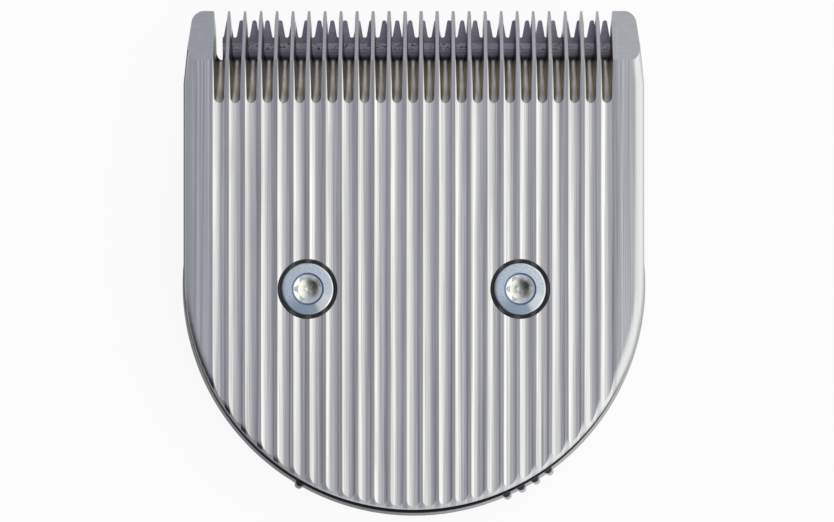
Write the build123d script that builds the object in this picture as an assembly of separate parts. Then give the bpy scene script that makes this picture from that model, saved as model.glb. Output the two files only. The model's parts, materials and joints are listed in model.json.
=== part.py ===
from build123d import *
import math
import os

# Clip-on hair clipper blade set, lying on its base with the comb's face up.
# +X is to the right across the teeth, +Y points to the tooth tips, +Z comes out of the face.
# The origin is in the middle of the footprint, on the surface that the base lies on.
# Lengths are in millimetres and angles in degrees. A name that ends in _back is a distance
# behind the comb's tooth tips.

# Comb blade: a D-shaped ground steel plate
comb_width = 46.0
comb_length = 50.03
comb_thickness = 2.6
comb_edge_round = 1.3
comb_edge_turn = 52.0
side_taper_back = 7.5
side_taper_angle = 6.0
front_corner_round = 1.3
front_bevel_back = 5.13
comb_tip_thickness = 0.5
comb_nose_round = 0.2

# Comb teeth: sloping gaps with rounded floors, in line with shallow grooves along the face
tooth_pitch = 1.611
guard_tooth_width = 2.85
tooth_row_shift = -0.08
groove_width = 1.28
groove_depth = 0.19
gap_start_back = 9.43
gap_through_back = 4.9
gap_floor_width = 0.98
gap_floor_round = 0.55
gap_corner_round = 0.17
gap_draft_angle = 3.0
middle_tip_width = 0.34
outer_tip_width = 0.17
tip_narrowing_back = 2.4

# Cutter blade: finer teeth, hollow ground between a front and a rear rubbing land
cutter_pitch = 1.31
cutter_side_room = 0.5
cutter_end_margin = 0.6
cutter_thickness = 1.0
cutter_tip_back = 0.9
cutter_valley_back = 2.64
cutter_rear_back = 14.0
cutter_front_land = 2.35
cutter_rear_land = 2.8
cutter_hollow_depth = 0.15
cutter_hollow_ramp = 0.6
cutter_tip_thickness = 0.4
cutter_bevel_length = 3.3
cutter_tooth_tip_width = 0.36
cutter_tooth_tip_round = 0.2
cutter_valley_width = 0.34
cutter_valley_round = 0.19

# Stroke: the cutter rests a little right of the middle of its travel
cutter_rest_shift = 0.28
cutter_half_stroke = 1.2

# Driver: a moulded yoke pegged to the cutter, with a slot for the clipper's drive pin
driver_bar_margin = 1.5
driver_bar_front_back = 7.5
driver_bar_thickness = 1.3
driver_corner_round = 1.2
driver_peg_spacing = 18.0
driver_peg_back = 10.5
driver_peg_diameter = 2.0
driver_peg_recess = 0.2
driver_prong_wall = 2.8
driver_tongue_end_back = 26.0
driver_tongue_bottom = 1.2
driver_tongue_slope_back = 13.0
drive_slot_width = 5.0
drive_slot_start_back = 17.5

# Screws and inserts
screw_spacing = 21.2
screw_back = 27.98
screw_diameter = 2.9
screw_length = 6.0
screw_head_diameter = 5.3
screw_head_height = 1.3
screw_head_round = 0.22
screw_head_sink = 0.2
screw_tip_chamfer = 0.3
socket_lobe_diameter = 2.8
socket_waist_diameter = 2.02
socket_lobe_round = 0.25
socket_depth = 0.8
socket_cone_depth = 0.6
socket_rim_diameter = 3.26
socket_rim_depth = 0.25
counterbore_gap = 0.34
insert_diameter = 4.2
insert_flange_diameter = 5.8
insert_flange_thickness = 0.6
insert_cover = 0.4

# Base holder: a moulded D-shaped tray under the comb
base_height = 6.4
deck_thickness = 1.4
base_wall = 1.6
base_draft_angle = 3.0
base_side_inset = 0.1
rim_overhang = 0.53
rim_setback = 0.54
rim_slope_out = 0.48
rim_slope_height = 1.6
rim_edge_round = 0.1
base_foot_round = 0.3
rail_thickness = 2.0
base_corner_round = 1.5
front_foot_chamfer = 2.5
driver_mouth_margin = 1.9
boss_wall = 1.4
rib_thickness = 1.2
rib_drop = 1.8
latch_width = 8.4
latch_slit = 0.8
latch_height = 4.0
latch_catch_reach = 0.8
latch_catch_height = 1.0
latch_catch_bottom = 0.6
side_lug_back = 19.0
side_lug_length = 3.0
side_lug_reach = 1.1
side_lug_height = 1.2
side_lug_bottom = 0.8

# Grip nubs that lean out with the rim's slope: one to the left, a row of four to the right
nub_diameter = 0.9
nub_height = 2.0
nub_lean_angle = 15.5
nub_sink = 0.05
nub_end_round = 0.15
nub_angle = 29.9
nub_step_angle = 4.0
left_nub_count = 1
right_nub_count = 4

# Pressure spring: a stamped leaf trapped between the deck and the comb
spring_thickness = 0.4
spring_arm_width = 4.0
spring_band_margin = 1.9
spring_band_lead = 3.4
spring_band_tail = 3.5
spring_corner_round = 1.5
spring_slope_run = 5.5
spring_bend_room = 0.6
spring_bend_round = 1.2
spring_curl_behind_bar = 1.9
spring_tip_behind_bar = 0.8
spring_tip_drop = 0.45

# Clearances
sliding_gap = 0.1
spring_gap = 0.05
tongue_gap = 0.2
fit_gap = 0.02
screw_hole_gap = 0.2
pocket_gap = 0.15

# Worked out from the sizes above
half_width = comb_width / 2
rim_radius = half_width + rim_overhang
overall_length = comb_length + rim_setback + rim_overhang
tip_y = overall_length / 2
rim_center_back = comb_length - half_width + rim_setback
shear_z = base_height
face_z = base_height + comb_thickness
deck_bottom_z = base_height - deck_thickness
cutter_bottom_z = shear_z - cutter_thickness
driver_bar_bottom_z = cutter_bottom_z - driver_bar_thickness
head_top_z = face_z - screw_head_sink
head_seat_z = head_top_z - screw_head_height
base_front_back = cutter_rear_back + sliding_gap
rail_rear_back = base_front_back + rail_thickness
boss_bottom_z = head_seat_z - screw_length + insert_flange_thickness
screw_places = [(-screw_spacing / 2, "left"), (screw_spacing / 2, "right")]
spring_pocket_z = base_height - spring_thickness
spring_bend_back = rail_rear_back + spring_slope_run
spring_band_front_back = spring_bend_back + spring_band_lead
spring_band_rear_back = screw_back + spring_band_tail
spring_arms_reach = screw_spacing + spring_arm_width
insert_top_z = spring_pocket_z - insert_cover

# How far a cutting shape runs on past what it cuts
overcut = 5.0

# A round bar stands up from its place or hangs down from it
standing = (Align.CENTER, Align.CENTER, Align.MIN)
hanging = (Align.CENTER, Align.CENTER, Align.MAX)


def y_at(back):
    """The Y of a point that lies the given distance behind the tooth tips."""
    return tip_y - back


def centers(count, pitch):
    """Evenly spaced places about zero."""
    return [(i - (count - 1) / 2) * pitch for i in range(count)]


def prism(points, plane, depth):
    """A straight-sided block from a polygon on a plane, the same depth to both sides."""
    face = make_face(Polyline(*points, close=True))
    return extrude(plane * face, depth / 2, both=True)


def block(x0, x1, back0, back1, z0, z1):
    """A box between two X, two distances behind the tips and two heights."""
    size = (x1 - x0, back1 - back0, z1 - z0)
    middle = ((x0 + x1) / 2, y_at((back0 + back1) / 2), (z0 + z1) / 2)
    return Pos(*middle) * Box(*size)


def post(x, back, z0, z1, diameter):
    """An upright round bar."""
    return Pos(x, y_at(back), z0) * Cylinder(diameter / 2, z1 - z0, align=standing)


def rounded_plate(width, back0, back1, z0, z1, corner):
    """A flat plate with rounded corners, centred on X."""
    outline = Pos(0, y_at((back0 + back1) / 2)) * RectangleRounded(width, back1 - back0, corner)
    return extrude(Pos(0, 0, z0) * outline, z1 - z0)


def tooth_end(x, front_y, radius, side):
    """The quarter round from a tooth's tip to its right flank, for a side of 1, or its left one, for -1."""
    diagonal = radius * math.sqrt(0.5)
    halfway = (x + side * diagonal, front_y - radius + diagonal)
    return ThreePointArc((x, front_y), halfway, (x + side * radius, front_y - radius))


# Comb blade

row_width = comb_width - 2 * guard_tooth_width
gap_count = int(row_width / tooth_pitch + 1e-6)
gap_places = [x + tooth_row_shift for x in centers(gap_count, tooth_pitch)]
gap_slope = (comb_thickness - groove_depth) / (gap_start_back - gap_through_back)


def comb_outline(front_back, spare):
    """The D outline, with its sides tapered up to a straight front and something to spare all round."""
    inset = (side_taper_back - front_back) * math.tan(math.radians(side_taper_angle))
    half = half_width + spare
    round_y = y_at(comb_length - half_width)
    taper_y = y_at(side_taper_back)
    front_y = y_at(front_back)
    rear = ThreePointArc((-half, round_y), (0, round_y - half), (half, round_y))
    sides = Polyline(
        (half, round_y),
        (half, taper_y),
        (half - inset, front_y),
        (inset - half, front_y),
        (-half, taper_y),
        (-half, round_y),
    )
    return make_face(rear + sides)


def comb_side():
    """The comb's section from front to rear: a rounded nose and a sloping front that runs on upwards."""
    slope = (comb_thickness - comb_tip_thickness) / front_bevel_back
    far_back = comb_length + overcut
    section = make_face(
        Polyline(
            (tip_y, shear_z),
            (tip_y, shear_z + comb_tip_thickness),
            (y_at(far_back), shear_z + comb_tip_thickness + slope * far_back),
            (y_at(far_back), shear_z),
            close=True,
        )
    )
    return fillet(section.vertices().group_by(Axis.X)[-1], comb_nose_round)


def comb_plate():
    """The plate before grinding: its edge rolls over, then drops straight; the front slopes."""
    low = Pos(0, 0, shear_z - overcut)
    spare = comb_edge_round * (1 - math.sin(math.radians(comb_edge_turn)))
    body = extrude(low * comb_outline(-overcut, spare), comb_thickness + overcut)
    top = body.faces().sort_by(Axis.Z)[-1]
    front = top.edges().sort_by(Axis.Y)[-1]
    body = fillet([edge for edge in top.edges() if not edge.is_same(front)], comb_edge_round)
    outline = comb_outline(0, 0)
    outline = fillet(outline.vertices().group_by(Axis.Y)[-1], front_corner_round)
    body &= extrude(low * outline, comb_thickness + 2 * overcut)
    return body & extrude(Plane.YZ * comb_side(), comb_width, both=True)


def tooth_gap(x):
    """One sloping gap with a hollow floor, rounded corners and leaning walls."""
    height = gap_slope * gap_start_back + comb_thickness + overcut
    half = gap_floor_width / 2
    rise = gap_floor_round - math.sqrt(gap_floor_round**2 - half**2)
    top = half + (height - rise) * math.tan(math.radians(gap_draft_angle))
    floor = ThreePointArc((-half, rise), (0, 0), (half, rise))
    walls = Polyline((half, rise), (top, height), (-top, height), (-half, rise))
    section = make_face(floor + walls)
    section = fillet(section.vertices().group_by(Axis.Y)[0], gap_corner_round)
    low_z = shear_z - gap_slope * (gap_through_back + overcut)
    plane = Plane((x, tip_y + overcut, low_z), x_dir=(1, 0, 0), z_dir=(0, -1, gap_slope))
    run = gap_start_back + 2 * overcut
    return extrude(plane * section, math.hypot(run, run * gap_slope))


def face_groove(x):
    """One shallow round groove along the whole face."""
    radius = ((groove_width / 2) ** 2 + groove_depth**2) / (2 * groove_depth)
    bar = Cylinder(radius, comb_length + 2 * overcut, rotation=(90, 0, 0))
    return Pos(x, y_at(comb_length / 2), face_z - groove_depth + radius) * bar


def tip_width(index):
    """The width of a tooth's tip: the outer teeth are ground slimmer than the middle ones."""
    middle = gap_count / 2
    share = min(abs(index - middle) / middle, 1)
    return middle_tip_width + (outer_tip_width - middle_tip_width) * share


def tip_relief(index, x):
    """What narrows and rounds the tips of the two teeth beside one gap."""
    left = tip_width(index) / 2
    right = tip_width(index + 1) / 2
    half = tooth_pitch / 2
    start = gap_floor_width / 2
    y0 = y_at(tip_narrowing_back)
    left_end = tooth_end(-half, tip_y, left, 1)
    right_end = tooth_end(half, tip_y, right, -1)
    ahead = Polyline((-half, tip_y), (-half, tip_y + overcut), (half, tip_y + overcut), (half, tip_y))
    flanks = Polyline(right_end @ 1, (start, y0), (-start, y0), left_end @ 1)
    outline = make_face(left_end + ahead + right_end + flanks)
    return extrude(Pos(x, 0, shear_z - overcut) * outline, 2 * overcut)


def comb_blade():
    body = comb_plate()
    body -= [face_groove(x) for x in gap_places]
    body -= [tooth_gap(x) for x in gap_places]
    body -= [tip_relief(index, x) for index, x in enumerate(gap_places)]
    hole = screw_diameter + 2 * screw_hole_gap
    counterbore = screw_head_diameter + 2 * counterbore_gap
    for x, _ in screw_places:
        body -= post(x, screw_back, shear_z - overcut, face_z + overcut, hole)
        body -= post(x, screw_back, head_seat_z, face_z + overcut, counterbore)
    return body


# Cutter blade

cutter_room = row_width - 2 * (cutter_side_room + cutter_end_margin)
cutter_tooth_count = int(cutter_room / cutter_pitch + 1e-6) + 1
cutter_width = (cutter_tooth_count - 1) * cutter_pitch + 2 * cutter_end_margin
cutter_peg_hole = driver_peg_diameter + 2 * fit_gap


def cutter_side():
    """The cutter's section, from the thinned tips to the rear edge."""
    top = shear_z
    low = shear_z - cutter_hollow_depth
    front_back = cutter_tip_back + cutter_front_land
    rear_back = cutter_rear_back - cutter_rear_land
    return [
        (y_at(cutter_tip_back), top),
        (y_at(front_back), top),
        (y_at(front_back + cutter_hollow_ramp), low),
        (y_at(rear_back - cutter_hollow_ramp), low),
        (y_at(rear_back), top),
        (y_at(cutter_rear_back), top),
        (y_at(cutter_rear_back), cutter_bottom_z),
        (y_at(cutter_tip_back + cutter_bevel_length), cutter_bottom_z),
        (y_at(cutter_tip_back), top - cutter_tip_thickness),
    ]


def cutter_gap(x):
    """One gap between two round-tipped cutter teeth, with a round valley."""
    half = cutter_pitch / 2
    mouth = half - cutter_tooth_tip_width / 2
    valley = cutter_valley_width / 2
    front_y = y_at(cutter_tip_back)
    valley_y = y_at(cutter_valley_back)
    far_y = front_y + overcut
    left = [(-valley, valley_y), (-mouth, front_y), (-half, front_y), (-half, far_y)]
    right = [(-x, y) for x, y in reversed(left)]
    outline = make_face(Polyline(*left, *right, close=True))
    tips = outline.vertices().group_by(Axis.Y)[1].sort_by(Axis.X)[1:-1]
    outline = fillet(tips, cutter_tooth_tip_round)
    outline = fillet(outline.vertices().group_by(Axis.Y)[0], cutter_valley_round)
    return extrude(Pos(x, 0, cutter_bottom_z - overcut) * outline, 2 * overcut)


def cutter_blade():
    body = Pos(cutter_rest_shift, 0, 0) * prism(cutter_side(), Plane.YZ, cutter_width)
    body -= [cutter_gap(x + cutter_rest_shift) for x in centers(cutter_tooth_count + 1, cutter_pitch)]
    for x in centers(2, driver_peg_spacing):
        body -= post(x + cutter_rest_shift, driver_peg_back, 0, face_z, cutter_peg_hole)
    return body


# Driver under the cutter

driver_tongue_top_z = deck_bottom_z - tongue_gap
driver_travel = cutter_half_stroke + cutter_rest_shift
driver_bar_width = spring_arms_reach + 2 * (driver_travel + driver_bar_margin)
driver_tongue_width = drive_slot_width + 2 * driver_prong_wall


def cutter_driver():
    bar = rounded_plate(
        driver_bar_width,
        driver_bar_front_back,
        cutter_rear_back,
        driver_bar_bottom_z,
        cutter_bottom_z,
        driver_corner_round,
    )
    tongue = prism(
        [
            (y_at(driver_bar_front_back + driver_corner_round), driver_bar_bottom_z),
            (y_at(driver_tongue_slope_back), driver_tongue_bottom),
            (y_at(driver_tongue_end_back), driver_tongue_bottom),
            (y_at(driver_tongue_end_back), driver_tongue_top_z),
            (y_at(driver_bar_front_back + driver_corner_round), driver_tongue_top_z),
        ],
        Plane.YZ,
        driver_tongue_width,
    )
    tongue = fillet(tongue.edges().filter_by(Axis.Z).group_by(Axis.Y)[0], driver_corner_round)
    body = bar + tongue
    half_slot = drive_slot_width / 2
    slot_middle = drive_slot_start_back + half_slot
    slot_end = driver_tongue_end_back + overcut
    body -= post(0, slot_middle, -overcut, base_height, drive_slot_width)
    body -= block(-half_slot, half_slot, slot_middle, slot_end, -overcut, base_height)
    for x in centers(2, driver_peg_spacing):
        body += post(x, driver_peg_back, cutter_bottom_z, shear_z - driver_peg_recess, driver_peg_diameter)
    return Pos(cutter_rest_shift, 0, 0) * body


# Screws and inserts


def six_lobe():
    """The outline of a six-lobe socket: round lobes joined by tangent hollows."""
    lobe = socket_lobe_round
    lobe_at = socket_lobe_diameter / 2 - lobe
    waist = socket_waist_diameter / 2
    turn = math.radians(30)
    top = lobe_at**2 + waist**2 - 2 * lobe_at * waist * math.cos(turn) - lobe**2
    hollow = top / (2 * lobe + 2 * lobe_at * math.cos(turn) - 2 * waist)

    def spot(radius, angle):
        return Vector(radius * math.cos(angle), radius * math.sin(angle))

    def joint(lobe_angle, hollow_angle):
        lobe_center = spot(lobe_at, lobe_angle)
        hollow_center = spot(waist + hollow, hollow_angle)
        return lobe_center + (hollow_center - lobe_center) * (lobe / (lobe + hollow))

    edges = []
    for index in range(6):
        angle = 2 * turn * index
        start = joint(angle, angle - turn)
        end = joint(angle, angle + turn)
        after = joint(angle + 2 * turn, angle + turn)
        edges.append(ThreePointArc(start, spot(socket_lobe_diameter / 2, angle), end))
        edges.append(ThreePointArc(end, spot(waist, angle + turn), after))
    return make_face(edges)


def screw(x):
    """A cheese-head screw with a six-lobe socket, its head sunk in the comb."""
    head = screw_head_diameter / 2
    shank = screw_diameter / 2
    tip_z = head_seat_z - screw_length
    profile = make_face(
        Polyline(
            (0, tip_z),
            (shank - screw_tip_chamfer, tip_z),
            (shank, tip_z + screw_tip_chamfer),
            (shank, head_seat_z),
            (head, head_seat_z),
            (head, head_top_z),
            (0, head_top_z),
            close=True,
        )
    )
    profile = fillet(profile.vertices().group_by(Axis.X)[-1].sort_by(Axis.Y)[-1], screw_head_round)
    body = revolve(Plane.XZ * profile, Axis.Z)
    waist = socket_waist_diameter / 2
    rim = socket_rim_diameter / 2
    floor_z = head_top_z - socket_depth
    body -= extrude(Pos(0, 0, floor_z) * six_lobe(), socket_depth)
    bottom = Pos(0, 0, floor_z) * Cone(0, waist, socket_cone_depth, align=hanging)
    lead_in = Pos(0, 0, head_top_z) * Cone(waist, rim, socket_rim_depth, align=hanging)
    body -= [bottom, lead_in]
    return Pos(x, y_at(screw_back), 0) * body


def insert(x):
    """A flanged threaded insert, pressed into its boss from below."""
    flange_bottom_z = boss_bottom_z - insert_flange_thickness
    body = post(x, screw_back, boss_bottom_z, insert_top_z, insert_diameter)
    body += post(x, screw_back, flange_bottom_z, boss_bottom_z, insert_flange_diameter)
    return body - post(x, screw_back, -overcut, face_z, screw_diameter + 2 * fit_gap)


# Pressure spring

spring_arms = centers(2, screw_spacing)
spring_band_width = spring_arms_reach + 2 * spring_band_margin


def spring_arm(x):
    """One arm, bent down under the driver and curled at its end."""
    level = driver_bar_bottom_z - spring_gap - spring_thickness / 2
    start_z = base_height - spring_thickness / 2
    path = FilletPolyline(
        (x, y_at(spring_band_front_back), start_z),
        (x, y_at(spring_bend_back), start_z),
        (x, y_at(rail_rear_back - rail_thickness / 2), level),
        (x, y_at(driver_bar_front_back + spring_curl_behind_bar), level),
        (x, y_at(driver_bar_front_back + spring_tip_behind_bar), level - spring_tip_drop),
        radius=spring_bend_round,
    )
    start = Plane((x, y_at(spring_band_front_back), start_z), x_dir=(1, 0, 0), z_dir=(0, 1, 0))
    return sweep(start * Rectangle(spring_arm_width, spring_thickness), path)


def pressure_spring():
    body = rounded_plate(
        spring_band_width,
        spring_band_front_back,
        spring_band_rear_back,
        spring_pocket_z,
        base_height,
        spring_corner_round,
    )
    for x in spring_arms:
        body += spring_arm(x)
    for x, _ in screw_places:
        body -= post(x, screw_back, 0, face_z, screw_diameter + 2 * screw_hole_gap)
    return body


# Base holder

draft = math.tan(math.radians(base_draft_angle))
slope_foot_z = base_height - rim_slope_height
hollow_inset = base_wall + slope_foot_z * draft
hollow_half_width = half_width - base_side_inset - hollow_inset
hollow_radius = rim_radius - hollow_inset
boss_diameter = insert_diameter + 2 * boss_wall


def base_outline(inset, front_back):
    """The base's outline, moved in by the given amount: straight sides run into a round rear."""
    half = half_width - base_side_inset - inset
    box = Pos(0, y_at(rim_center_back)) * Rectangle(
        2 * half, rim_center_back - front_back, align=(Align.CENTER, Align.MIN)
    )
    disc = Pos(0, y_at(rim_center_back)) * Circle(rim_radius - inset)
    ahead = Pos(0, y_at(front_back)) * Rectangle(4 * half, rim_center_back, align=(Align.CENTER, Align.MIN))
    return box + disc - ahead


def skirt_section(reach):
    """Half of the base's section: a steep sloping rim, a drafted side below it and a rounded foot."""
    section = make_face(
        Polyline(
            (0, 0),
            (reach - slope_foot_z * draft, 0),
            (reach, slope_foot_z),
            (reach - rim_slope_out, base_height),
            (0, base_height),
            close=True,
        )
    )
    section = fillet(section.vertices().group_by(Axis.Y)[-1].sort_by(Axis.X)[-1], rim_edge_round)
    return fillet(section.vertices().group_by(Axis.Y)[0].sort_by(Axis.X)[-1], base_foot_round)


def base_shell():
    """The tray: a round rear and straight sides with a rounded front, hollow below the deck."""
    body = revolve(Plane.XZ * skirt_section(rim_radius), Axis.Z)
    side = Plane.XZ * skirt_section(half_width - base_side_inset)
    side = extrude(side, base_front_back - rim_center_back)
    body += [side, mirror(side, Plane.YZ)]
    body = Pos(0, y_at(rim_center_back), 0) * body
    outline = base_outline(0, base_front_back)
    outline = fillet(outline.vertices().group_by(Axis.Y)[-1], base_corner_round)
    body &= extrude(outline, base_height)
    hollow = base_outline(hollow_inset, rail_rear_back)
    return body - extrude(hollow, deck_bottom_z)


def front_cuts():
    """The mouth that the driver and the spring reach through, and the sloping front of the foot."""
    half = spring_arms_reach / 2 + driver_mouth_margin
    mouth = block(-half, half, base_front_back - overcut, rail_rear_back, -overcut, deck_bottom_z)
    slope = prism(
        [
            (y_at(base_front_back - overcut), front_foot_chamfer + overcut),
            (y_at(base_front_back - overcut), -overcut),
            (y_at(base_front_back + front_foot_chamfer + overcut), -overcut),
        ],
        Plane.YZ,
        2 * comb_width,
    )
    return [mouth, slope]


def spring_cuts():
    """The pocket that the spring's band lies in, and the windows that its arms go down through."""
    cuts = [
        rounded_plate(
            spring_band_width + 2 * pocket_gap,
            spring_band_front_back - pocket_gap,
            spring_band_rear_back + pocket_gap,
            spring_pocket_z,
            base_height + overcut,
            spring_corner_round + pocket_gap,
        )
    ]
    half = spring_arm_width / 2 + pocket_gap
    window_back = spring_bend_back + spring_bend_room
    band_back = spring_band_front_back + spring_corner_round
    top_z = base_height + overcut
    for x in spring_arms:
        cuts.append(block(x - half, x + half, window_back, band_back, spring_pocket_z, top_z))
        cuts.append(block(x - half, x + half, rail_rear_back, window_back, 0, top_z))
    return cuts


def boss(x):
    """The boss round one insert, ribbed out to the side wall and back to the rear wall."""
    rib_z = deck_bottom_z - rib_drop
    wall_x = math.copysign(hollow_half_width + base_wall / 2, x)
    half = rib_thickness / 2
    left, right = sorted((x, wall_x))
    side_rib = block(left, right, screw_back - half, screw_back + half, rib_z, deck_bottom_z)
    reach = math.sqrt(hollow_radius**2 - (abs(x) + half) ** 2) + base_wall / 2
    rear_rib = block(x - half, x + half, screw_back, rim_center_back + reach, rib_z, deck_bottom_z)
    return post(x, screw_back, boss_bottom_z, deck_bottom_z, boss_diameter) + side_rib + rear_rib


def boss_bore(x):
    """The seat of one insert and the screw's way through the deck."""
    bore = post(x, screw_back, -overcut, insert_top_z, insert_diameter + 2 * fit_gap)
    return bore + post(x, screw_back, 0, face_z, screw_diameter + 2 * screw_hole_gap)


def latch_catch():
    """The ridge inside the rear latch tongue, which catches under the clipper's neck."""
    ring = Circle(hollow_radius + base_wall / 2) - Circle(hollow_radius - latch_catch_reach)
    ring = extrude(Pos(0, y_at(rim_center_back), latch_catch_bottom) * ring, latch_catch_height)
    half = latch_width / 2
    back = rim_center_back + hollow_radius
    return ring & block(-half, half, back - overcut, back + overcut, 0, base_height)


def latch_slits():
    """The two slits that free the latch tongue in the rear wall."""
    back = rim_center_back + hollow_radius - overcut
    end_back = rim_center_back + rim_radius + overcut
    left = block(-latch_width / 2 - latch_slit, -latch_width / 2, back, end_back, -overcut, latch_height)
    return [left, mirror(left, Plane.YZ)]


def side_lugs():
    """The two lugs that hook the base's straight sides on to the clipper."""
    inner = hollow_half_width - side_lug_reach
    root = hollow_half_width + base_wall / 2
    top_z = side_lug_bottom + side_lug_height
    profile = make_face(
        Polyline(
            (root, side_lug_bottom),
            (hollow_half_width, side_lug_bottom),
            (inner, side_lug_bottom + side_lug_height / 2),
            (inner, top_z),
            (root, top_z),
            close=True,
        )
    )
    plane = Plane((0, y_at(side_lug_back), 0), x_dir=(1, 0, 0), z_dir=(0, -1, 0))
    right = extrude(plane * profile, side_lug_length)
    return [right, mirror(right, Plane.YZ)]


def rim_nub(angle):
    """A leaning grip nub on the rim, at an angle from straight back."""
    radius = nub_diameter / 2
    top_z = base_height - radius * math.sin(math.radians(nub_lean_angle))
    nub = Cylinder(radius, nub_height, align=hanging)
    nub = fillet(nub.edges().filter_by(GeomType.CIRCLE), nub_end_round)
    nub = Pos(0, rim_slope_out + nub_sink - rim_radius, top_z) * Rot(-nub_lean_angle, 0, 0) * nub
    return Pos(0, y_at(rim_center_back), 0) * Rot(0, 0, angle) * nub


def base_holder():
    body = base_shell()
    for x, _ in screw_places:
        body += boss(x)
    body += side_lugs()
    body -= front_cuts() + spring_cuts() + latch_slits()
    body += latch_catch()
    body -= [boss_bore(x) for x, _ in screw_places]
    body += [rim_nub(-nub_angle + step) for step in centers(left_nub_count, nub_step_angle)]
    body += [rim_nub(nub_angle + step) for step in centers(right_nub_count, nub_step_angle)]
    return body


pieces = {
    "comb_blade": comb_blade(),
    "cutter_blade": cutter_blade(),
    "cutter_driver": cutter_driver(),
    "pressure_spring": pressure_spring(),
    "base_holder": base_holder(),
}
for x, side in screw_places:
    pieces["screw_" + side] = screw(x)
    pieces["insert_" + side] = insert(x)

os.makedirs("parts", exist_ok=True)
for name, piece in pieces.items():
    export_step(piece, "parts/" + name + ".step")
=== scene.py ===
import json
import math

import bpy
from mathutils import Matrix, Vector


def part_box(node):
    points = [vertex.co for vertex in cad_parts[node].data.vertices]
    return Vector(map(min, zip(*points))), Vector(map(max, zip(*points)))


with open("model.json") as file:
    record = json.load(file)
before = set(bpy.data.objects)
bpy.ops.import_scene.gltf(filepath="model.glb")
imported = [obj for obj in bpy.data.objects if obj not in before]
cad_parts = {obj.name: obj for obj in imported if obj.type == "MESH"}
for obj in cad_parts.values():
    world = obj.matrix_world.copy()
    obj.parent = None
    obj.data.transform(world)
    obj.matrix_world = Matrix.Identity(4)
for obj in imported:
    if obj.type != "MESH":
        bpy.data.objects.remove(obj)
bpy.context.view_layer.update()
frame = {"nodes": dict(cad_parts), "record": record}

# Lengths are in metres, in the frame of the part: +X to the right across the teeth,
# +Y to the tooth tips, +Z out of the comb's face.
MM = 0.001

# Places read from the frame
comb_low, comb_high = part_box("comb_blade")
screw_low, screw_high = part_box("screw_right")
base_low, base_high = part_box("base_holder")
tip_y = comb_high.y
face_z = comb_high.z
shear_z = comb_low.z
screw_x = (screw_low.x + screw_high.x) / 2
screw_y = (screw_low.y + screw_high.y) / 2

# Sizes of the comb, with lengths along it measured back from the tooth tips
bevel_back = 5.13 * MM
gap_back = 9.43 * MM
tip_thickness = 0.5 * MM
row_half_width = 20.3 * MM
fine_teeth_half_width = 19.3 * MM
groove_pitch = 1.611 * MM
groove_shift = -0.08 * MM
groove_width = 1.28 * MM
groove_depth = 0.19 * MM
counterbore_radius = 3.05 * MM

# Sizes of the cutter and the screws
ramp_start_back = 3.25 * MM
ramp_end_back = 3.85 * MM
socket_radius = 1.4 * MM
socket_rim_radius = 1.58 * MM
head_dome = 45 * MM
head_relief = 0.003 * MM

# Where a finish or a painted shade changes, as the start and the end of the change, back from the tooth tips
edge_shade_start = (0.8 * MM, 2 * MM)
edge_shade_end = (7 * MM, 8 * MM)
gap_stain_and_shade_start = (1.8 * MM, 3.2 * MM)
gap_front_end = (4.87 * MM, 5.22 * MM)
gap_rear_start = (7.3 * MM, 8.6 * MM)
cutter_shade_start = (4.25 * MM, 4.75 * MM)

# Where the painted shade on a tooth's edge starts and ends, from its middle line, and how that grows behind
# the bevel
bevel_tooth_edge = (0.13 * MM, 0.18 * MM)
face_tooth_edge = (0.165 * MM, 0.2 * MM)
tooth_widening = 0.04

# Where the base's coat grows along X, a painted sheen towards the lit right side
base_sheen_start = (-6 * MM, 14 * MM)

# Colours of the comb
land_dull = (0.37, 0.384, 0.403)
land_bright = (0.655, 0.679, 0.70)
groove_dull = (0.455, 0.461, 0.475)
groove_bright = (0.83, 0.84, 0.845)
land_shade = (0.2, 0.19, 0.215)
score_dark = (0.12, 0.115, 0.125)
# Painted shade along the tooth edges and on the lower left edge
tooth_edge_painted_shade = (0.10, 0.098, 0.11)
left_edge_painted_shade = (0.10, 0.085, 0.08)
gap_floor_dull = (0.49, 0.48, 0.455)
gap_floor_bright = (0.66, 0.65, 0.635)
gap_wall_brown = (0.52, 0.485, 0.43)
# Painted shade in the gaps and in the counterbores
gap_painted_shade = (0.02, 0.02, 0.02)
counterbore_painted_shade = (0.30, 0.295, 0.29)

# Colours of the cutter
cutter_dull = (0.205, 0.20, 0.25)
cutter_bright = (0.30, 0.295, 0.355)
# Painted highlight on the ramp, then scratches and painted shade
cutter_ramp_highlight = (0.54, 0.53, 0.63)
cutter_scratch_and_shade = (0.02, 0.02, 0.022)

# Colours of the screws
zinc_dull = (0.49, 0.58, 0.655)
zinc_bright = (0.71, 0.775, 0.83)
zinc_shade = (0.18, 0.26, 0.35)
zinc_glint = (0.92, 0.94, 0.95)
socket_rim_blue = (0.10, 0.17, 0.30)
socket_bare = (0.70, 0.725, 0.70)
# Painted shade in the socket
socket_shade_grey = (0.17, 0.18, 0.17)

# Colours of the base and of the pieces under the comb
base_black = (0.012, 0.0155, 0.026)
base_pale_black = (0.017, 0.0215, 0.035)
# Painted shade on the ledge beside the comb
base_ledge_painted_shade = (0.002, 0.002, 0.002)
base_gloss_tint = (0.86, 0.95, 1.0)
driver_shade = (0.62, 0.605, 0.55)
driver_white = (0.70, 0.69, 0.645)
strip_dull = (0.42, 0.41, 0.395)
strip_bright = (0.52, 0.515, 0.505)
brass_dull = (0.56, 0.39, 0.15)
brass_bright = (0.70, 0.52, 0.23)

# Colours of the stage
floor_white = (0.97, 0.97, 0.97)
glow_white = (1.0, 1.0, 1.0)
sky_grey = (0.56, 0.555, 0.615)
sky_screen = (1.56, 1.55, 1.46)
sky_dark = (0.02, 0.02, 0.025)

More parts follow.
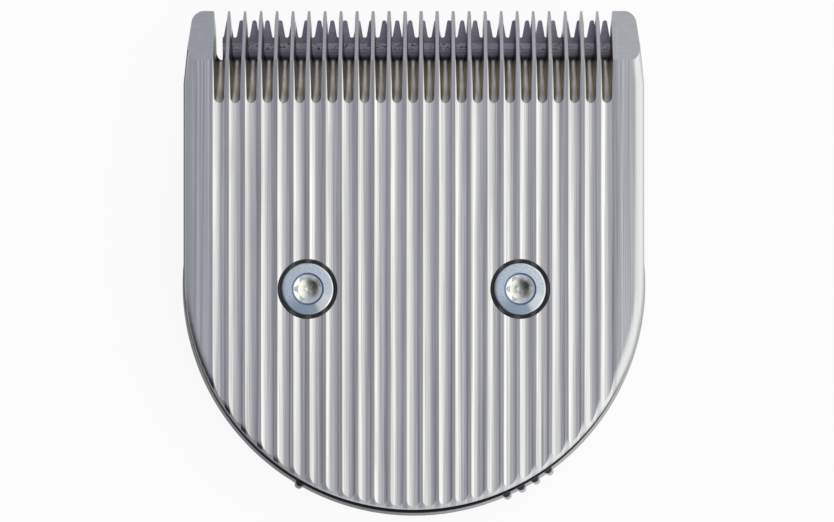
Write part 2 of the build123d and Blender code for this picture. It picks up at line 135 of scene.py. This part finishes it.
# Ways in which painted highlight and shade, and the dark part of the sky, lie on a level surface, as X and Y
socket_shade_way = (0.95, 0.3)
glint_way = (0.77, -0.64)
edge_shade_way = (-0.7, -0.7)
sky_dark_way = (-0.85, -0.53)

# The photograph's view: straight down on the face
frame_width = 83.07 * MM
camera_height = 200 * MM
view_right = 0.31 * MM
tips_above_middle = 25.19 * MM
sensor_width = 36.0
nearest_seen = 10 * MM

# The floor
floor_size = 6.0
floor_drop = 0.01 * MM
floor_glow = 0.9


def find(sockets, key):
    """A socket by its place, its name or its identifier."""
    if isinstance(key, int):
        return sockets[key]
    for socket in sockets:
        if key in (socket.identifier, socket.name):
            return socket
    raise KeyError(key)


class Wire:
    """One output of a shader node, for use in Python expressions: each operator adds a Math node."""

    def __init__(self, nodes, socket):
        self.nodes = nodes
        self.socket = socket

    def output(self, key):
        """Another output of the same node."""
        return Wire(self.nodes, find(self.socket.node.outputs, key))

    def math(self, operation, *given):
        return self.nodes.node("Math", {"operation": operation}, dict(enumerate(given)))

    def __add__(self, other):
        return self.math("ADD", self, other)

    __radd__ = __add__

    def __sub__(self, other):
        return self.math("SUBTRACT", self, other)

    def __rsub__(self, other):
        return self.math("SUBTRACT", other, self)

    def __mul__(self, other):
        return self.math("MULTIPLY", self, other)

    __rmul__ = __mul__

    def __truediv__(self, other):
        return self.math("DIVIDE", self, other)

    def __abs__(self):
        return self.math("ABSOLUTE", self)

    def sine(self):
        return self.math("SINE", self)

    def sign(self):
        return self.math("SIGN", self)

    def root(self):
        return self.math("SQRT", self)

    def to_nearest(self, step):
        """The distance to the nearest whole number of steps."""
        return self.math("PINGPONG", self, step / 2)

    def lowest(self, other):
        return self.math("MINIMUM", self, other)

    def highest(self, other):
        return self.math("MAXIMUM", self, other)

    def rise(self, start, end):
        """Goes smoothly from 0 at start to 1 at end."""
        ends = {"Value": self, "From Min": start, "From Max": end}
        return self.nodes.node("MapRange", {"interpolation_type": "SMOOTHSTEP"}, ends)

    def within(self, limit, blend=0.1 * MM):
        """1 up to the limit on both sides of 0, then down to 0 over the blend."""
        return 1 - abs(self).rise(limit, limit + blend)


def distance(across, along):
    """The length of a way with the given parts along X and Y."""
    return (across * across + along * along).root()


def reach(across, along, way):
    """How far a place lies along a way."""
    return across * way[0] + along * way[1]


def turned_rings(radius, pitch):
    """The fine rings that turning leaves."""
    return (radius * (2 * math.pi / pitch)).sine()


class Nodes:
    """The nodes of one material or world."""

    def __init__(self, tree):
        self.tree = tree

    def plug(self, socket, given):
        """Sets a socket to a value, or links an output to it."""
        if isinstance(given, Wire):
            self.tree.links.new(given.socket, socket)
        elif isinstance(given, tuple) and len(socket.default_value) == 4:
            socket.default_value = (*given, 1.0)
        else:
            socket.default_value = given

    def node(self, kind, settings=None, sockets=None, output=0):
        """Adds a node, makes its settings, fills its sockets and gives back one output."""
        made = self.tree.nodes.new("ShaderNode" + kind)
        for name, setting in (settings or {}).items():
            setattr(made, name, setting)
        for key, given in (sockets or {}).items():
            self.plug(find(made.inputs, key), given)
        return Wire(self, find(made.outputs, output))

    def split(self, vector):
        """X, Y and Z of a vector."""
        first = self.node("SeparateXYZ", sockets={"Vector": vector})
        return first, first.output("Y"), first.output("Z")

    def mix(self, share, first, second):
        """A colour between two colours."""
        sockets = {"Factor_Float": share, "A_Color": first, "B_Color": second}
        return self.node("Mix", {"data_type": "RGBA"}, sockets, "Result_Color")


class Finish(Nodes):
    """A material for one kind of surface on the blade set."""

    def __init__(self, name):
        self.material = bpy.data.materials.new(name)
        self.material.use_nodes = True
        super().__init__(self.material.node_tree)
        self.shader = self.tree.nodes["Principled BSDF"]
        self.spot = self.node("TexCoord", output="Object")
        self.x, self.y, self.z = self.split(self.spot)

    def from_screw(self):
        """X and Y from the nearer screw's axis."""
        return self.x - self.x.sign() * screw_x, self.y - screw_y

    def facing(self):
        """X, Y and Z of the way that the surface faces."""
        return self.split(self.node("NewGeometry", output="Normal"))

    def grain(self, *lengths, detail=3.0):
        """Noise of the given lengths in mm along X, Y and Z; one far over the others draws it into lines."""
        scale = tuple(1 / (length * MM) for length in lengths)
        stretched = self.node("VectorMath", {"operation": "MULTIPLY"}, {0: self.spot, 1: scale})
        return self.node("TexNoise", sockets={"Vector": stretched, "Scale": 1.0, "Detail": detail})

    def specks(self, size, detail=3.0):
        """Noise of the same length in mm all ways."""
        return self.grain(size, size, size, detail=detail)

    def mottled(self, noise, dark, light, spread=0.2):
        """A colour that goes from dark to light with the noise."""
        return self.mix(noise.rise(0.5 - spread, 0.5 + spread), dark, light)

    def set(self, **sockets):
        """Fills the shader's sockets, named with _ for a blank."""
        for name, given in sockets.items():
            self.plug(find(self.shader.inputs, name.replace("_", " ")), given)

    def relief(self, height, depth):
        """Bumps of the given depth."""
        self.set(Normal=self.node("Bump", sockets={"Height": height, "Distance": depth, "Strength": 1.0}))


# The comb's finish


class CombSteel(Finish):
    """Ground steel, with a mask for each kind of place on the comb."""

    def __init__(self):
        super().__init__("ground_steel")
        self.facing_x, self.facing_y, self.facing_z = self.facing()
        self.back = tip_y - self.y
        self.in_row = self.x.within(row_half_width)
        self.from_groove = (self.x - groove_shift).to_nearest(groove_pitch)
        groove = self.groove_share()
        below = self.below_ground(groove)
        in_gap_length = self.back.within(gap_back + 0.1 * MM)
        self.in_gap = below * self.in_row * in_gap_length * self.facing_z.rise(-0.6, -0.3)
        self.in_counterbore = below * distance(*self.from_screw()).within(counterbore_radius)
        self.on_bevel = self.facing_y.rise(0.2, 0.34) * (1 - below)
        on_top = self.facing_z.rise(0.5, 0.8) * (1 - self.in_gap)
        self.on_face = on_top * (1 - self.on_bevel)
        self.in_groove = groove.rise(0.0, 0.5) * on_top
        self.on_land = self.in_row * (1 - self.in_groove) * self.on_face

    def groove_share(self):
        """The depth of the nearest groove, as a share of its depth in the middle."""
        from_middle = self.from_groove / (groove_width / 2)
        return (1 - from_middle * from_middle).highest(0.0) * self.in_row

    def below_ground(self, groove):
        """The places that lie below the ground bevel and the grooved face."""
        slope = (face_z - shear_z - tip_thickness) / bevel_back
        bevel_z = self.back * slope + (shear_z + tip_thickness)
        ground_z = (face_z - groove * groove_depth).lowest(bevel_z)
        return (ground_z - self.z).rise(0.01 * MM, 0.05 * MM)

    def tooth_edges(self):
        """The edges of the fine teeth on the bevel, and a short way along the gaps behind it, where shade is
        painted.
        """
        from_tooth = groove_pitch / 2 - self.from_groove
        bevel_edge = from_tooth.rise(*bevel_tooth_edge) * self.on_bevel * self.back.rise(*edge_shade_start)
        widening = (self.back - bevel_back) * tooth_widening
        face_edge = (from_tooth - widening).rise(*face_tooth_edge) * self.on_face
        face_edge = face_edge * (1 - self.back.rise(*edge_shade_end))
        return bevel_edge.highest(face_edge) * self.x.within(fine_teeth_half_width)

    def rolled_edge(self):
        """The rolled edge round the sides and the rear."""
        at_side = abs(self.facing_x).rise(0.08, 0.25) * (1 - self.in_row)
        at_rear = (0 - self.facing_y).rise(0.08, 0.25)
        return at_rear.highest(at_side) * (1 - self.in_gap)

    def left_under_edge(self):
        """The lower part of the rolled edge on the left, which is painted dark as shade."""
        lower = (face_z - self.z).rise(0.3 * MM, 0.42 * MM) * self.facing_z.rise(0.3, 0.5)
        return lower * (1 - self.in_gap) * (0 - self.facing_x).rise(0.2, 0.5)

    def grinding(self):
        """Grinding lines along the face and across the bevel, nearly gone on the rolled edge."""
        along = self.grain(0.35, 60, 4) * 0.4 + self.grain(0.11, 25, 2) * 0.6
        across = self.grain(1.2, 0.08, 0.15) * 0.15 + self.grain(0.15, 0.12, 0.15) * 0.15 + 0.3
        lines = along + (across - along) * self.on_bevel
        return lines + (0.5 - lines) * self.rolled_edge() * 0.85

    def clean_color(self, lines):
        """The ground surfaces: bright grooves, lands and tooth edges darker with painted shade, fine scores,
        and painted shade on the lower left edge.
        """
        land = self.mottled(lines, land_dull, land_bright)
        groove = self.mottled(lines, groove_dull, groove_bright)
        color = self.mix(self.in_groove, land, groove)
        scores = self.grain(0.13, 14, 2, detail=1.0).rise(0.56, 0.68) * self.on_face * self.in_row
        color = self.mix(scores * 0.22, color, score_dark)
        # Painted shade on the lands between the grooves
        color = self.mix(self.on_land * 0.22, color, land_shade)
        # Painted shade along the edges of the fine teeth
        color = self.mix(self.tooth_edges() * 0.8, color, tooth_edge_painted_shade)
        # Painted shade on the lower part of the rolled left edge
        return self.mix(self.left_under_edge(), color, left_edge_painted_shade)

    def gap_color(self):
        """The gaps: a dull floor between stained walls, with painted shade at the front end and towards the
        rear.
        """
        wall = (1 - self.facing_z.rise(0.3, 0.8)).highest(abs(self.facing_x).rise(0.2, 0.7))
        floor = self.mottled(self.grain(0.7, 2, 1), gap_floor_dull, gap_floor_bright)
        color = self.mix(wall, floor, gap_wall_brown)
        # Painted shade towards the rear of the gaps and at their front end
        color = self.mix(self.back.rise(*gap_rear_start) * 0.41, color, gap_painted_shade)
        return self.mix((1 - self.back.rise(*gap_front_end)) * 0.7, color, gap_painted_shade)


def ground_steel():
    """The comb: ground along its grooves and across its sloping front, with stain and painted shade in the
    gaps and painted shade in the counterbores.
    """
    steel = CombSteel()
    lines = steel.grinding()
    # Stain and painted shade in the gaps, from a little behind the tips
    stain_and_shade = steel.in_gap * steel.back.rise(*gap_stain_and_shade_start)
    color = steel.mix(stain_and_shade, steel.clean_color(lines), steel.gap_color())
    # Painted shade in the counterbores
    color = steel.mix(steel.in_counterbore, color, counterbore_painted_shade)
    roughness = 0.24 + lines * 0.06 + steel.in_groove * 0.18 - steel.on_land * 0.08 + steel.on_bevel * 0.1
    roughness = roughness + steel.in_gap * 0.1 + steel.in_counterbore * 0.3
    steel.set(Base_Color=color, Metallic=1.0, Roughness=roughness)
    steel.relief(lines, 0.0045 * MM)
    return steel.material


# The finishes of the other pieces


def dark_cutter_steel():
    """The cutter: dark dull steel, ground from side to side, with a scratched front ramp that has a painted
    highlight, painted shade and highlight lines at its rear edge, and painted shadow under the comb.
    """
    steel = Finish("dark_cutter_steel")
    facing_z = steel.facing()[2]
    on_top = facing_z.rise(0.3, 0.6)
    back = tip_y - steel.y
    lines = steel.grain(10, 0.1, 0.4)
    tone = lines * 0.6 + steel.grain(1.2, 0.8, 1) * 0.4
    behind_start = back.rise(ramp_start_back - 0.04 * MM, ramp_start_back)
    on_ramp = behind_start * back.within(ramp_end_back, 0.04 * MM) * on_top
    # Painted shade and highlight lines along the ramp's rear edge
    ramp_shade_line = (back - (ramp_end_back + 0.03 * MM)).within(0.02 * MM, 0.03 * MM) * on_top
    ramp_highlight_line = (back - (ramp_end_back + 0.12 * MM)).within(0.02 * MM, 0.04 * MM) * on_top
    wander = steel.grain(0.5, 0.28, 1, detail=1.0)
    scatter = steel.grain(0.9, 1.5, 1, detail=1.0)
    scratch = (wander - 0.5).within(0.012, 0.023) * scatter.rise(0.4, 0.48) * on_ramp
    # Painted shadow on the cutter under the comb's edge
    under_comb = back.rise(*cutter_shade_start) * on_top
    scratches_and_shade = scratch.highest(ramp_shade_line * 0.8).highest(under_comb * 0.85)
    color = steel.mottled(tone, cutter_dull, cutter_bright, spread=0.25)
    # Painted highlight on the ramp
    color = steel.mix(on_ramp.highest(ramp_highlight_line), color, cutter_ramp_highlight)
    # Scratches, and painted shade and shadow
    color = steel.mix(scratches_and_shade, color, cutter_scratch_and_shade)
    steel.set(Base_Color=color, Metallic=1.0, Roughness=0.5 + tone * 0.14 + scratch * 0.1)
    steel.relief(lines - scratch * 0.8, 0.003 * MM)
    return steel.material


def zinc_screw():
    """The screws: bluish zinc over a turned, slightly domed head, deep blue round a socket of bare steel,
    with painted shade at the rear and lower left of the head and on one side of the socket, and a painted
    glint.
    """
    zinc = Finish("zinc_screw")
    across, along = zinc.from_screw()
    radius = distance(across, along)
    mottle = zinc.specks(0.14)
    in_socket = radius.within(socket_radius, 0.05 * MM)
    on_rim = radius.within(socket_rim_radius, 0.08 * MM) * (1 - in_socket)
    # Painted shade on one side of the socket
    socket_shade = reach(across, along, socket_shade_way).rise(-0.25 * MM, 0.5 * MM) * radius.within(0.7 * MM, 0.65 * MM)
    rear_shade = (0 - along / radius).rise(0.2, 1.0) * 0.65
    edge_shade = (reach(across, along, edge_shade_way) / radius).rise(0.0, 0.8)
    edge_shade = edge_shade * radius.rise(2.2 * MM, 2.5 * MM) * 0.7
    glint = (reach(across, along, glint_way) / radius).rise(0.87, 0.98) * 0.55
    plated = zinc.mottled(mottle, zinc_dull, zinc_bright)
    plated = zinc.mix(rear_shade.highest(edge_shade), plated, zinc_shade)
    plated = zinc.mix(glint, plated, zinc_glint)
    plated = zinc.mix(on_rim, plated, socket_rim_blue)
    bare = zinc.mix(socket_shade, socket_bare, socket_shade_grey)
    zinc.set(Base_Color=zinc.mix(in_socket, plated, bare), Metallic=1.0)
    zinc.set(Roughness=0.26 + mottle * 0.14 - in_socket * 0.08)
    dome = radius * radius / (2 * head_dome * head_relief)
    rings = turned_rings(radius, 0.11 * MM)
    zinc.relief(rings * 0.4 + mottle - dome * (1 - in_socket), head_relief)
    return zinc.material


def base_plastic():
    """The base: black moulded plastic, finely textured, with more coat to the right as painted sheen, and
    dull beside the comb, where shade is painted black on the ledge.
    """
    plastic = Finish("base_plastic")
    facing_z = plastic.facing()[2]
    pores = plastic.specks(0.09, detail=2.0)
    cloud = plastic.specks(6)
    # Painted shade on the ledge beside the comb, in the comb's shadow
    ledge = facing_z.rise(0.975, 0.99) * plastic.z.rise(base_high.z - 0.2 * MM, base_high.z - 0.1 * MM)
    color = plastic.mix(ledge, plastic.mottled(cloud, base_black, base_pale_black), base_ledge_painted_shade)
    # Painted sheen: more coat towards the lit right side
    painted_sheen = (0.05 + plastic.x.rise(*base_sheen_start) * 0.8) * (1 - ledge)
    plastic.set(Base_Color=color, Roughness=0.3 + cloud * 0.1 + pores * 0.08 + ledge * 0.4)
    plastic.set(Specular_IOR_Level=0.4, Specular_Tint=base_gloss_tint)
    plastic.set(Coat_Weight=painted_sheen, Coat_Roughness=0.2)
    plastic.relief(pores, 0.005 * MM)
    return plastic.material


def driver_plastic():
    """The driver: off-white slippery plastic."""
    plastic = Finish("driver_plastic")
    pores = plastic.specks(0.12, detail=2.0)
    plastic.set(Base_Color=plastic.mottled(plastic.specks(4), driver_shade, driver_white))
    plastic.set(Roughness=0.36 + pores * 0.12)
    plastic.relief(pores, 0.004 * MM)
    return plastic.material


def spring_steel():
    """The spring: rolled strip, with faint lines along the strip."""
    strip = Finish("spring_steel")
    lines = strip.grain(0.1, 9, 2)
    strip.set(Base_Color=strip.mottled(strip.grain(2, 5, 2), strip_dull, strip_bright))
    strip.set(Metallic=1.0, Roughness=0.22 + lines * 0.16)
    strip.relief(lines, 0.002 * MM)
    return strip.material


def insert_brass():
    """The inserts: turned brass, a little dulled."""
    brass = Finish("insert_brass")
    dulled = brass.specks(0.8)
    brass.set(Base_Color=brass.mottled(dulled, brass_dull, brass_bright))
    brass.set(Metallic=1.0, Roughness=0.25 + dulled * 0.18)
    brass.relief(turned_rings(distance(*brass.from_screw()), 0.14 * MM), 0.002 * MM)
    return brass.material


finishes = {
    "ground_steel": ground_steel(),
    "dark_cutter_steel": dark_cutter_steel(),
    "zinc_screw": zinc_screw(),
    "base_plastic": base_plastic(),
    "driver_plastic": driver_plastic(),
    "spring_steel": spring_steel(),
    "insert_brass": insert_brass(),
}

for subpart in frame["record"]["subparts"]:
    node = frame["nodes"][subpart["node"]]
    node.data.materials.clear()
    node.data.materials.append(finishes[subpart["material_slot"]])


# Stage: a pale floor, a soft sky that is brighter on the right, and the camera


def pale_floor():
    """A white floor that keeps the shadow under the blade set."""
    bpy.ops.mesh.primitive_plane_add(size=floor_size, location=(0, 0, base_low.z - floor_drop))
    floor = bpy.context.object
    floor.name = "floor"
    paint = Finish("floor_paint")
    rays = paint.node("LightPath", output="Is Camera Ray")
    seen = rays.highest(rays.output("Is Glossy Ray")).highest(rays.output("Is Transmission Ray"))
    paint.set(Base_Color=floor_white, Roughness=0.9)
    glow = paint.node("Emission", sockets={"Color": glow_white, "Strength": 1.0})
    surface = Wire(paint, paint.shader.outputs["BSDF"])
    both = paint.node("MixShader", sockets={0: seen * floor_glow, 1: surface, 2: glow})
    paint.plug(paint.tree.nodes["Material Output"].inputs["Surface"], both)
    floor.data.materials.append(paint.material)


def soft_sky():
    """Light from all round: a wide white screen on the right, cool grey overhead, dark to the lower left."""
    world = bpy.data.worlds.new("studio")
    world.use_nodes = True
    bpy.context.scene.world = world
    sky = Nodes(world.node_tree)
    right, ahead, up = sky.split(sky.node("TexCoord", output="Generated"))
    screen = right.rise(-0.15, 0.7)
    lower_left = (reach(right, ahead, sky_dark_way) / distance(right, ahead)).rise(0.87, 0.94)
    lower_left = lower_left * (1 - up.rise(0.4, 0.9))
    light = sky.mix(lower_left, sky.mix(screen, sky_grey, sky_screen), sky_dark)
    sky.plug(world.node_tree.nodes["Background"].inputs["Color"], light)


def photo_camera():
    """Straight above the face, with the tooth tips at the top of the picture."""
    data = bpy.data.cameras.new("photo_camera")
    data.sensor_fit = "HORIZONTAL"
    data.sensor_width = sensor_width
    data.lens = sensor_width * camera_height / frame_width
    data.clip_start = nearest_seen
    camera = bpy.data.objects.new("photo_camera", data)
    camera.location = Vector((view_right, tip_y - tips_above_middle, face_z + camera_height))
    bpy.context.collection.objects.link(camera)
    bpy.context.scene.camera = camera


pale_floor()
soft_sky()
photo_camera()
bpy.context.scene.view_settings.view_transform = "Standard"
